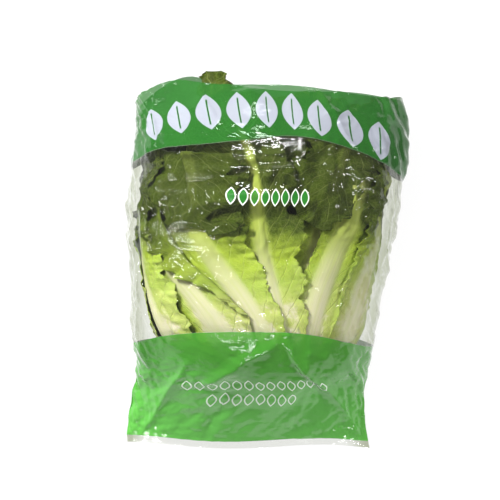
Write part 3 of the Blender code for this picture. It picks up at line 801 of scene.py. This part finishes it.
def film_material(size):
    """Clear glossy film with two printed bands and a few plain leaf marks."""
    n = Nodes("printed_film")
    sheet = n.attribute("sheet", "Vector")
    x, y, _ = n.split(sheet)

    top = past_edge(n, n.math("SUBTRACT", y, arched_edge(n, x, TOP_BAND_EDGE)))
    low = past_edge(n, n.math("SUBTRACT", arched_edge(n, x, LOW_BAND_EDGE), y))
    low = n.math("MULTIPLY", low, past_edge(n, y, size.hem_y))
    band = n.math("MAXIMUM", top, low)

    row = n.math("SUBTRACT", y, arched_edge(n, x, TOP_ROW))
    across_film = n.attribute("across_film")
    pale = leaf_marks(n, n.math("ADD", across_film, 0.0135), row, *TOP_MARK, TOP_MARK_SLIT)
    pale = n.math("MULTIPLY", pale, between(n, across_film, -TOP_ROW_REACH, TOP_ROW_REACH))

    lines = None
    for level, low_x, high_x in LOW_ROWS:
        row = n.math("SUBTRACT", y, level)
        along_row = n.math("SUBTRACT", x, low_x)
        rim = leaf_marks(n, along_row, row, LOW_MARK_STEP, 0.0064, 0.0048, 0.0)
        core = leaf_marks(n, along_row, row, LOW_MARK_STEP, 0.0050, 0.0035, 0.0)
        rim = n.math("MULTIPLY", n.math("SUBTRACT", rim, core), between(n, x, low_x, high_x))
        lines = rim if lines is None else n.math("MAXIMUM", lines, rim)

    row = n.math("SUBTRACT", n.math("MULTIPLY_ADD", x, 0.085, y), 0.0555)
    along_row = n.math("SUBTRACT", x, WINDOW_ROW[0])
    span = between(n, x, *WINDOW_ROW)
    halo = leaf_marks(n, along_row, row, WINDOW_MARK_STEP, 0.0082, 0.0049, 0.0)
    halo = n.math("MULTIPLY", halo, span)
    window = leaf_marks(n, along_row, row, WINDOW_MARK_STEP, 0.0068, 0.0037, 0.0)
    window = n.math("MULTIPLY", window, span)

    ink = n.math("MAXIMUM", band, halo)
    tone = n.noise(sheet, 22.0, 2.0)
    top_ink = n.mix(tone, size.top_ink, size.top_ink_light)
    # Painted light: the lower band's ink turns lighter towards the hem, where the white floor shows through
    # the film
    low_ink = n.mix(n.step(y, -0.085, -0.165), size.low_ink, size.low_ink_backlit)
    colour = n.mix(low, top_ink, low_ink)
    colour = n.mix(n.math("MULTIPLY", pale, top), colour, size.mark_colour)
    colour = n.mix(n.math("MULTIPLY", lines, low), colour, srgb(222, 240, 218))
    white_part = n.math("MULTIPLY", halo, n.math("SUBTRACT", 1.0, band))
    colour = n.mix(white_part, colour, srgb(236, 242, 232))
    colour = n.mix(n.math("MULTIPLY", window, n.math("SUBTRACT", 1.0, band)), colour, size.window_ink)

    streak = n.add("ShaderNodeMapping", {"Vector": sheet, "Scale": (60.0, 420.0, 1.0)}).outputs[0]
    crinkle = n.noise(streak, 1.0, 3.0, 0.6)
    dimple = n.noise(sheet, 330.0, 3.0, 0.6)
    dimple = n.math("MULTIPLY", dimple, n.step(n.noise(sheet, 45.0, 2.0), 0.50, 0.66))
    height = n.math("MULTIPLY_ADD", dimple, 1.6, n.math("MULTIPLY", crinkle, 0.45))
    normal = n.bump(height, 0.0016, size.crinkle)

    facing = n.add("ShaderNodeLayerWeight", {"Blend": 0.5, "Normal": normal}).outputs["Facing"]
    bunched = n.attribute("bunched")
    haze = n.math("MULTIPLY_ADD", n.math("POWER", facing, 3.0), 0.20, size.haze)
    side_place = n.add("ShaderNodeMapping", {"Vector": sheet, "Scale": (210.0, 34.0, 1.0)}).outputs[0]
    side_streak = n.step(n.noise(side_place, 1.0, 3.0, 0.6), 0.50, 0.66)
    haze = n.math("MULTIPLY_ADD", bunched, n.math("MULTIPLY_ADD", side_streak, 0.26, 0.05), haze)
    opacity = n.add("ShaderNodeMix", data_type="FLOAT")
    for key, value in ((0, ink), (2, haze), (3, size.ink_cover)):
        n.put(opacity.inputs[key], value)
    film_colour = n.mix(ink, srgb(214, 217, 208), colour)
    body = n.add(
        "ShaderNodeBsdfPrincipled",
        {"Base Color": film_colour, "Roughness": 0.5, "Normal": normal, "Specular IOR Level": 0.0},
    )
    tint = n.mix(bunched, (0.94, 0.945, 0.925), (0.71, 0.735, 0.64))
    clear = n.add("ShaderNodeBsdfTransparent", {0: tint})
    layers = {0: opacity.outputs[0], 1: clear.outputs[0], 2: body.outputs[0]}
    sheet_shader = n.add("ShaderNodeMixShader", layers)
    gloss = n.add("ShaderNodeBsdfGlossy", {"Color": (1, 1, 1), "Roughness": 0.07, "Normal": normal})
    grazing = n.math("MULTIPLY_ADD", n.math("POWER", facing, 5.0), 0.94, 0.045)
    shine = n.math("MULTIPLY", grazing, size.gloss, clamp=True)
    shader = n.add("ShaderNodeMixShader", {0: shine, 1: sheet_shader.outputs[0], 2: gloss.outputs[0]})
    return n.finish(shader.outputs[0])


def floor_material():
    n = Nodes("pale_floor")
    place = n.add("ShaderNodeTexCoord").outputs["Object"]
    colour = n.mix(n.noise(place, 5.0), (0.09, 0.09, 0.09), (0.11, 0.11, 0.11))
    inputs = {"Base Color": colour, "Roughness": 0.9, "Specular IOR Level": 0.0}
    inputs.update({"Emission Color": (1.0, 1.0, 1.0), "Emission Strength": 0.93})
    return n.finish(n.add("ShaderNodeBsdfPrincipled", inputs).outputs[0])


def ring_share(leaf, metres):
    """How far along the head a flat leaf's point is, as a share of the longest leaf."""
    return np.clip(metres / LONGEST_LEAF + 0.10 * (1 - leaf.ring.shell), 0, 1)


def leaf_masks(leaf, along, metres, across):
    """How much each point of the flat leaf is rib, and how green its blade is, with painted shade on the
    widened left wings.
    """
    share = np.abs(across) / rib_profile(leaf, along)[0]
    soft = (1 - smoothstep(0.15, 0.65, along)) * np.where(across < 0, 0.42, 0.20)
    upper = smoothstep(0.25, 0.42, along) - smoothstep(0.85, 0.95, along)
    halo = 0.75 * (0.019 / leaf.rib_width) ** 2 * upper
    rib = 1 - smoothstep(0.72 - 0.8 * soft, 1.05 + 0.5 * soft + halo, share)
    rib = rib * (1 - smoothstep(0.80, 0.98, along))

    wing = np.abs(across) / leaf.half_width
    reach_y = ring_share(leaf, metres)
    green = smoothstep(0.12, 0.72, reach_y + 0.14 * wing * smoothstep(0.25, 0.5, reach_y) - 0.03)
    # Painted shade: the widened left wings turn darker olive towards their margins, standing in for the shade
    # among their frills
    widened = max(leaf.left - 1, 0)
    green = green + 0.9 * widened * smoothstep(0.25, 0.60, -across / leaf.half_width)
    # The low margins stay a fresh green
    margin = smoothstep(0.55, 1.0, np.abs(across) / np.abs(across).max(axis=1, keepdims=True))
    pull = 0.8 * margin * (1 - smoothstep(0.35, 0.55, reach_y))
    return rib, green * (1 - pull) + 0.20 * pull


def leaf_object(leaf, material):
    """One finished leaf, which takes its solid's place."""
    along, metres, across = leaf_flat_grid(leaf)
    relief = leaf_relief(leaf, along, metres, across)
    laid_metres, laid_across, height = fold_back(leaf, metres, across, relief)
    height = height + margin_curl(leaf, along, metres, across)
    middle = lay_on_head(leaf, laid_metres, laid_across, height)
    normal = grid_normals(middle)
    rib_half, rib_rise = rib_profile(leaf, along)
    share = np.abs(across) / rib_half
    bulge = rib_rise * np.clip(1 - share**2, 0, 1)
    outer = middle + normal * (LEAF_THICKNESS / 2 + bulge * RIB_ON_OUTSIDE)[..., None]
    inner = middle - normal * (LEAF_THICKNESS / 2 + bulge * (1 - RIB_ON_OUTSIDE))[..., None]
    points, quads = closed_sheet(outer, inner)
    rib, green = leaf_masks(leaf, along, metres, across)
    seed = np.full_like(across, leaf_seed(leaf) * 0.013)
    inside = np.concatenate([np.zeros(across.size), np.ones(across.size)])
    attributes = {
        "rib": np.tile(rib.ravel(), 2),
        "green": np.tile(green.ravel(), 2),
        "inside": inside,
        "flat": np.tile(np.stack([across, metres, seed], -1).reshape(-1, 3), (2, 1)),
    }
    node = f"{leaf.ring.name}_{leaf.number + 1:02d}"
    obj = add_mesh(f"{node}_fine", rest_on_floor(to_frame(points)), quads, attributes)
    return finish_piece(obj, material, "leaf", node)


def film_section(y, angle):
    half_width, rim, rise, hump, centre_x = smooth_through(BAG_STATIONS, y)
    x = centre_x + half_width * np.cos(angle)
    s = np.sin(angle)
    above = rim + rise * np.abs(s) ** hump * (1 + BAG_FULLNESS * np.sin(2 * angle) ** 2)
    below = np.maximum(rim * (1 - BELLY_DEPTH * np.abs(s) ** BELLY_ROUND), 0.0)
    return np.stack([x, y, np.where(s >= 0, above, below)], axis=-1)


def mouth_y(x, top):
    past = x - MOUTH_PEAK[0]
    end = MOUTH_PEAK[1] - np.where(past < 0, MOUTH_LEFT_DROP * past**2, MOUTH_RIGHT_SLOPE * past)
    return np.where(top, end, end - MOUTH_STEP)


def film_grid():
    """The film's smooth form, rows from the seal to the mouth and columns once round."""
    top = np.linspace(0, math.pi, FILM_TOP_COLUMNS, endpoint=False)
    under = np.linspace(math.pi, 2 * math.pi, FILM_UNDER_COLUMNS, endpoint=False)
    angle = np.concatenate([top, under])
    share = np.linspace(0, 1, FILM_ROWS + 1)
    angle = np.repeat(angle[None, :], len(share), axis=0)
    share = np.repeat(share[:, None], angle.shape[1], axis=1)
    near_mouth = film_section(np.full_like(angle, MOUTH_PEAK[1]), angle)
    end = mouth_y(near_mouth[..., 0], np.sin(angle) >= 0)
    seal_y = BAG_STATIONS[0][0]
    y = seal_y + (end - seal_y) * share
    return film_section(y, angle), angle


class HeightMap:
    """Heights over a grid of square cells on the floor."""

    def __init__(self, low, high, cell):
        self.low, self.cell = np.array(low, float), cell
        self.shape = tuple(np.ceil((np.array(high) - self.low) / cell).astype(int) + 1)

    def cells(self, points):
        ij = np.round((points[..., :2] - self.low) / self.cell).astype(int)
        return np.clip(ij[..., 0], 0, self.shape[0] - 1), np.clip(ij[..., 1], 0, self.shape[1] - 1)

    def highest(self, points, ground):
        grid = np.full(self.shape, ground, float)
        i, j = self.cells(points)
        np.maximum.at(grid, (i.ravel(), j.ravel()), points[..., 2].ravel())
        return grid

    def read(self, grid, points):
        at = (points[..., :2] - self.low) / self.cell
        i = np.clip(np.floor(at[..., 0]).astype(int), 0, self.shape[0] - 2)
        j = np.clip(np.floor(at[..., 1]).astype(int), 0, self.shape[1] - 2)
        u, v = np.clip(at[..., 0] - i, 0, 1), np.clip(at[..., 1] - j, 0, 1)
        low = grid[i, j] * (1 - u) + grid[i + 1, j] * u
        high = grid[i, j + 1] * (1 - u) + grid[i + 1, j + 1] * u
        return low * (1 - v) + high * v


def neighbours_mean(grid):
    padded = np.pad(grid, 1, mode="edge")
    return (padded[:-2, 1:-1] + padded[2:, 1:-1] + padded[1:-1, :-2] + padded[1:-1, 2:]) / 4


def neighbours_most(grid):
    padded = np.pad(grid, 1, mode="edge")
    shifted = [padded[1 + i : padded.shape[0] - 1 + i, 1 + j : padded.shape[1] - 1 + j]
               for i in (-1, 0, 1) for j in (-1, 0, 1)]
    return np.max(shifted, axis=0)


def stretch_over(film, angle, leaf_points):
    """Pulls the upper film tight over the leaves, like a skin, but not at its sides."""
    cells = HeightMap((-0.150, -0.200), (0.150, 0.200), STRETCH_CELL)
    leaves = neighbours_most(neighbours_most(cells.highest(leaf_points, 0.0))) + FILM_OFF_LEAVES
    upper = film[np.sin(angle) > 0.02]
    start = cells.highest(upper, 0.0)
    known = start > 0
    for _ in range(6):
        start = np.where(start > 0, start, neighbours_most(start))
    for _ in range(3):
        known = neighbours_most(known.astype(float)) > 0
    inside = known
    for _ in range(4):
        inside = -neighbours_most(-inside.astype(float)) > 0
    skin = np.maximum(start, np.where(inside, leaves, 0))
    for _ in range(STRETCH_ROUNDS):
        pulled = np.maximum(neighbours_mean(skin), leaves)
        skin = np.where(inside, pulled, skin)
    weight = smoothstep(0.30, 0.75, np.sin(angle))
    drop = cells.read(skin, film) - film[..., 2]
    pulled = film.copy()
    pulled[..., 2] += weight * np.minimum(drop, 0.012)
    return pulled


# Creases in the film: ends as x, y, height, half width. Negative heights are valleys.
Crease = namedtuple("Crease", "start end height width")
CREASES = (
    Crease((0.014, -0.078), (0.108, -0.182), 0.0060, 0.0060),
    Crease((0.014, -0.078), (0.060, -0.150), -0.0045, 0.0090),
    Crease((0.014, -0.078), (-0.070, -0.125), 0.0042, 0.0070),
    Crease((-0.075, -0.095), (-0.120, -0.178), 0.0035, 0.0040),
    Crease((-0.040, -0.110), (-0.055, -0.180), -0.0022, 0.0045),
    Crease((0.080, -0.105), (0.118, -0.165), 0.0028, 0.0035),
    Crease((-0.090, 0.083), (0.035, 0.080), 0.0026, 0.0036),
    Crease((-0.060, 0.097), (0.020, 0.094), 0.0016, 0.0034),
    Crease((-0.095, 0.063), (0.028, 0.060), 0.0014, 0.0030),
    Crease((-0.060, 0.019), (0.010, 0.015), 0.0012, 0.0018),
    Crease((-0.134, 0.105), (-0.108, -0.010), 0.0030, 0.0022),
    Crease((-0.128, 0.060), (-0.100, 0.010), 0.0025, 0.0018),
    Crease((-0.130, 0.030), (-0.112, -0.060), 0.0030, 0.0020),
    Crease((-0.122, -0.005), (-0.120, -0.080), 0.0025, 0.0020),
    Crease((0.128, 0.060), (0.112, -0.020), 0.0030, 0.0022),
    Crease((0.118, 0.040), (0.120, -0.060), 0.0025, 0.0018),
    Crease((-0.120, 0.160), (-0.100, 0.100), 0.0030, 0.0025),
    Crease((-0.060, 0.178), (-0.050, 0.130), 0.0020, 0.0022),
    Crease((0.060, 0.165), (0.090, 0.100), 0.0020, 0.0030),
)


def crease_heights(x, y):
    """Sum of the creases: each is sharp across and tapers towards both ends."""
    total = np.zeros_like(x)
    for crease in CREASES:
        start, end = np.array(crease.start), np.array(crease.end)
        line = end - start
        length = np.linalg.norm(line)
        share = ((x - start[0]) * line[0] + (y - start[1]) * line[1]) / length**2
        beside = ((x - start[0]) * line[1] - (y - start[1]) * line[0]) / length
        beside = beside + 0.0015 * np.sin(share * 9 + start[0] * 70)
        taper = smoothstep(-0.08, 0.25, share) * smoothstep(1.08, 0.80, share)
        total += crease.height * taper * np.exp(-np.abs(beside / crease.width) ** 1.25)
    return total


def wrinkle_heights(x, y, angle):
    """Slow waves all over, and small wrinkles that run up the sides and across the skirt."""
    slow = 0.0011 * rough(x / 0.045, y / 0.045, 501, 2)
    at_side = 1 - smoothstep(0.35, 0.85, np.abs(np.sin(angle)))
    side = rough(x / 0.010 + y / 0.030, y / 0.035 - x / 0.05, 511, 3)
    small = rough(x / 0.016, y / 0.008, 521, 3)
    patches = smoothstep(0.05, 0.5, noise(x / 0.026, y / 0.022, 541))
    small = small + 2.2 * patches * rough(x / 0.0060, y / 0.0052, 551, 2)
    skirt = smoothstep(-0.085, -0.120, y)
    skirt_wrinkles = rough((x * 0.8 + y * 0.6) / 0.022, (y * 0.8 - x * 0.6) / 0.012, 531, 3)
    across = np.abs(side) - 0.25
    return slow + 0.0028 * at_side * across + 0.00034 * small + 0.0013 * skirt * skirt_wrinkles


def film_object(material, leaf_points):
    """The film, as one sheet that is open at the mouth."""
    film, angle = film_grid()
    sheet = film.copy()
    film = to_frame(film)
    film = stretch_over(film, angle, leaf_points)
    normal = grid_normals(film)
    flat_end = smoothstep(BAG_STATIONS[0][0], BAG_STATIONS[0][0] + 0.020, sheet[..., 1])
    on_top = smoothstep(-0.2, 0.15, np.sin(angle))
    height = crease_heights(sheet[..., 0], sheet[..., 1]) * on_top
    height = height + wrinkle_heights(sheet[..., 0], sheet[..., 1], angle) * (0.35 + 0.65 * on_top)
    film = film - normal * (height * (0.15 + 0.85 * flat_end))[..., None]
    film[..., 2] = np.maximum(film[..., 2], 0.0)
    quads = tube_faces(*film.shape[:2])
    bunched = 1 - smoothstep(0.20, 0.62, np.abs(np.sin(angle)))
    # Distance round the film from its middle line, since print isn't stretched down the sides
    step = np.linalg.norm(np.diff(sheet[..., [0, 2]], axis=1), axis=-1)
    girth = np.cumsum(np.pad(step, ((0, 0), (1, 0))), axis=1)
    middle = FILM_TOP_COLUMNS // 2
    across_film = sheet[:, [middle], 0] + girth[:, [middle]] - girth
    attributes = {
        "sheet": sheet.reshape(-1, 3),
        "bunched": bunched.ravel(),
        "across_film": across_film.ravel(),
    }
    obj = add_mesh("film_bag", film.reshape(-1, 3), quads, attributes)
    return finish_piece(obj, material, "film", "bag")


def crown_object(material):
    """The cut stem with a rounded rim and a slightly uneven face."""
    sides, face_rings = 96, 14
    loops = crown_loops(sides)
    centre = loops[0].mean(axis=0)
    face = [centre + (loops[0] - centre) * share for share in np.linspace(0.03, 1, face_rings)[:-1]]
    body = []
    for low, high in zip(loops[:-1], loops[1:]):
        body += [low + (high - low) * share for share in np.linspace(0, 1, 5)[:-1]]
    grid = np.array(face + body + [loops[-1]])
    radius = np.hypot(grid[..., 0] - centre[0], grid[..., 2] - centre[2])
    uneven = rough(grid[..., 0] / 0.006, grid[..., 2] / 0.006, 601, 3)
    grid[: face_rings + 2, :, 1] += 0.0004 * uneven[: face_rings + 2] + 0.0003
    quads = tube_faces(len(grid), sides)
    attributes = {"ring": np.stack([radius * 40, radius * 0, radius * 0], -1).reshape(-1, 3)}
    obj = add_mesh("cut_stem_fine", grid.reshape(-1, 3) + SHIFT, quads, attributes)
    return finish_piece(obj, material, "stem", "crown")


def colour_property(name, description, default):
    return bpy.props.FloatVectorProperty(
        name=name, description=description, subtype="COLOR", size=3, min=0, max=1, default=default
    )


class ChicoryLeafSettings(bpy.types.PropertyGroup):
    """Colours of the leaves and the stem."""

    rib_colour: colour_property("Rib", "Low part of the ribs", srgb(212, 207, 176))
    rib_tip_colour: colour_property("Rib tip", "Upper part of the ribs", srgb(146, 158, 70))
    wing_colour: colour_property("Wing", "Blade beside the base of the rib", srgb(184, 194, 112))
    low_colour: colour_property("Low blade", "Lower part of the blade", srgb(160, 180, 82))
    middle_colour: colour_property("Middle blade", "Middle of the blade", srgb(150, 170, 54))
    blade_colour: colour_property("Blade", "Broad part of the blade", srgb(62, 78, 15))
    tip_colour: colour_property("Tip", "Tip of the blade", srgb(46, 58, 10))
    vein_colour: colour_property("Veins", "Side veins and their net", srgb(196, 208, 120))
    stem_colour: colour_property("Cut stem", "Cut face of the stem", srgb(196, 176, 126))


class ChicoryFilmSettings(bpy.types.PropertyGroup):
    """Look of the film and its print."""

    top_ink: colour_property("Upper band", "Ink of the upper band", srgb(34, 90, 32))
    top_ink_light: colour_property("Upper band, light", "Ink where it is thin", srgb(44, 104, 40))
    low_ink: colour_property("Lower band", "Ink of the lower band", srgb(70, 146, 48))
    # Painted light: lighter ink near the hem, for the white floor showing through
    low_ink_backlit: colour_property("Lower band, light", "Its ink near the hem", srgb(96, 180, 74))
    mark_colour: colour_property("Marks", "Pale leaf marks on the bands", srgb(158, 162, 173))
    window_ink: colour_property("Window marks", "Leaf marks on the clear film", srgb(44, 120, 44))
    ink_cover: bpy.props.FloatProperty(
        name="Ink cover", description="How much the ink hides", subtype="FACTOR",
        min=0, max=1, default=0.86,
    )
    haze: bpy.props.FloatProperty(
        name="Haze", description="How much the clear film hides", subtype="FACTOR",
        min=0, max=1, default=0.005,
    )
    gloss: bpy.props.FloatProperty(
        name="Gloss", description="Strength of the film's reflections", min=0, max=5, default=1.25
    )
    crinkle: bpy.props.FloatProperty(
        name="Crinkle", description="Strength of the small crinkles", min=0, max=1, default=0.22
    )
    hem_y: bpy.props.FloatProperty(
        name="Hem", description="Where the lower band ends", unit="LENGTH", default=-0.180
    )


class ChicoryStageSettings(bpy.types.PropertyGroup):
    """The camera and the light."""

    camera_height: bpy.props.FloatProperty(
        name="Camera height", description="Above the surface", unit="LENGTH", default=3.0
    )
    frame_width: bpy.props.FloatProperty(
        name="Frame width", description="Width seen at half the head's height", unit="LENGTH", default=0.494
    )
    look_at: bpy.props.FloatVectorProperty(
        name="Aim", description="Point in the middle of the picture", subtype="TRANSLATION", size=3,
        default=(SHIFT[0] - 0.0170, SHIFT[1] + 0.0070, 0.050),
    )
    key_power: bpy.props.FloatProperty(name="Key light", description="Watts", min=0, default=42.0)
    sky_strength: bpy.props.FloatProperty(name="Sky", description="Light from all round", min=0, default=0.17)
    ceiling_strength: bpy.props.FloatProperty(
        name="Ceiling", description="Light from straight above", min=0, default=0.08
    )


class ChicoryAddStem(bpy.types.Operator):
    """Adds the cut stem"""

    bl_idname = "chicory.add_stem"
    bl_label = "Cut Stem"

    def execute(self, context):
        crown_object(stem_material(context.scene.chicory_leaf))
        return {"FINISHED"}


class ChicoryAddLeaves(bpy.types.Operator):
    """Adds every leaf of the head"""

    bl_idname = "chicory.add_leaves"
    bl_label = "Leaves"

    def execute(self, context):
        material = leaf_material(context.scene.chicory_leaf)
        for leaves in RINGS.values():
            for leaf in leaves:
                leaf_object(leaf, material)
        return {"FINISHED"}


class ChicoryAddFilm(bpy.types.Operator):
    """Adds the film bag, pulled over the leaves that are there"""

    bl_idname = "chicory.add_film"
    bl_label = "Film Bag"

    def execute(self, context):
        points = []
        for obj in context.scene.objects:
            if obj.name.startswith(OUTER.name) and obj.name.endswith("_fine"):
                flat = np.zeros(len(obj.data.vertices) * 3, np.float32)
                obj.data.vertices.foreach_get("co", flat)
                points.append(flat.reshape(-1, 3))
        if not points:
            raise RuntimeError("the leaves come before the film")
        film_object(film_material(context.scene.chicory_film), np.concatenate(points))
        return {"FINISHED"}


class ChicoryAddStage(bpy.types.Operator):
    """Adds the floor, the lights and the camera"""

    bl_idname = "chicory.add_stage"
    bl_label = "Stage"

    def execute(self, context):
        settings = context.scene.chicory_stage
        scene = context.scene
        corners = np.array([(-6, -6, 0), (6, -6, 0), (6, 6, 0), (-6, 6, 0)], float)
        corners[:, 2] = -0.0004
        floor = add_mesh("floor", corners, np.array([[0, 1, 2, 3]]))
        floor.data.materials.append(floor_material())

        world = bpy.data.worlds.new("pale_room")
        scene.world = world
        world.use_nodes = True
        tree = world.node_tree
        background = tree.nodes["Background"]
        place = tree.nodes.new("ShaderNodeTexCoord")
        parts = tree.nodes.new("ShaderNodeSeparateXYZ")
        fade = tree.nodes.new("ShaderNodeMapRange")
        fade.interpolation_type = "SMOOTHSTEP"
        levels = (0.30, 0.80, settings.sky_strength, settings.ceiling_strength)
        for socket, value in zip(fade.inputs[1:5], levels):
            socket.default_value = value
        tree.links.new(place.outputs["Generated"], parts.inputs[0])
        tree.links.new(parts.outputs[2], fade.inputs[0])
        tree.links.new(fade.outputs[0], background.inputs[1])
        background.inputs[0].default_value = (1, 1, 1, 1)

        lights = (
            ("key_light", (-0.85, 0.75, 1.00), settings.key_power, 0.35, 0.30, False),
            ("side_light", (1.05, -0.30, 0.95), settings.key_power * 0.20, 0.50, 0.50, False),
            ("left_strip", (-0.95, 0.10, 1.35), settings.key_power * 0.055, 0.025, 0.70, True),
            ("right_strip", (1.05, 0.20, 1.20), settings.key_power * 0.045, 0.02, 0.70, True),
            ("back_strip", (-0.05, 0.95, 1.30), settings.key_power * 0.14, 0.70, 0.06, True),
            ("front_strip", (-0.10, -1.20, 1.00), settings.key_power * 0.10, 0.60, 0.05, True),
        )
        for name, place, power, width, height, mirrored in lights:
            light = bpy.data.lights.new(name, "AREA")
            light.shape = "RECTANGLE"
            light.energy, light.size, light.size_y = power, width, height
            obj = bpy.data.objects.new(name, light)
            obj.location = place
            obj.visible_glossy = mirrored
            obj.rotation_euler = (Vector((0, 0, 0.05)) - Vector(place)).to_track_quat("-Z", "Y").to_euler()
            scene.collection.objects.link(obj)

        camera = bpy.data.cameras.new("camera")
        distance = settings.camera_height - settings.look_at[2]
        camera.lens = camera.sensor_width * distance / settings.frame_width
        camera.clip_start, camera.clip_end = 0.05, 50.0
        obj = bpy.data.objects.new("camera", camera)
        obj.location = (settings.look_at[0], settings.look_at[1], settings.camera_height)
        scene.collection.objects.link(obj)
        scene.camera = obj
        scene.view_settings.view_transform = "Standard"
        return {"FINISHED"}


class ChicoryPanel(bpy.types.Panel):
    """Lists the settings and the pieces"""

    bl_idname = "VIEW3D_PT_chicory"
    bl_label = "Bagged Chicory"
    bl_space_type = "VIEW_3D"
    bl_region_type = "UI"
    bl_category = "Chicory"

    def draw(self, context):
        for group in ("chicory_leaf", "chicory_film", "chicory_stage"):
            settings = getattr(context.scene, group)
            box = self.layout.box()
            for key in settings.__annotations__:
                box.prop(settings, key)
        for operator in OPERATORS:
            self.layout.operator(operator.bl_idname)


SETTINGS = {
    "chicory_leaf": ChicoryLeafSettings,
    "chicory_film": ChicoryFilmSettings,
    "chicory_stage": ChicoryStageSettings,
}
OPERATORS = (ChicoryAddStem, ChicoryAddLeaves, ChicoryAddFilm, ChicoryAddStage)


def register():
    for settings in SETTINGS.values():
        bpy.utils.register_class(settings)
    for name, settings in SETTINGS.items():
        setattr(bpy.types.Scene, name, bpy.props.PointerProperty(type=settings))
    for operator in OPERATORS:
        bpy.utils.register_class(operator)
    bpy.utils.register_class(ChicoryPanel)


def unregister():
    bpy.utils.unregister_class(ChicoryPanel)
    for operator in reversed(OPERATORS):
        bpy.utils.unregister_class(operator)
    for name in SETTINGS:
        delattr(bpy.types.Scene, name)
    for settings in SETTINGS.values():
        bpy.utils.unregister_class(settings)


def main():
    """Builds everything."""
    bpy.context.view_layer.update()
    register()
    bpy.ops.chicory.add_stem()
    bpy.ops.chicory.add_leaves()
    bpy.ops.chicory.add_film()
    bpy.ops.chicory.add_stage()


if __name__ == "__main__":
    main()
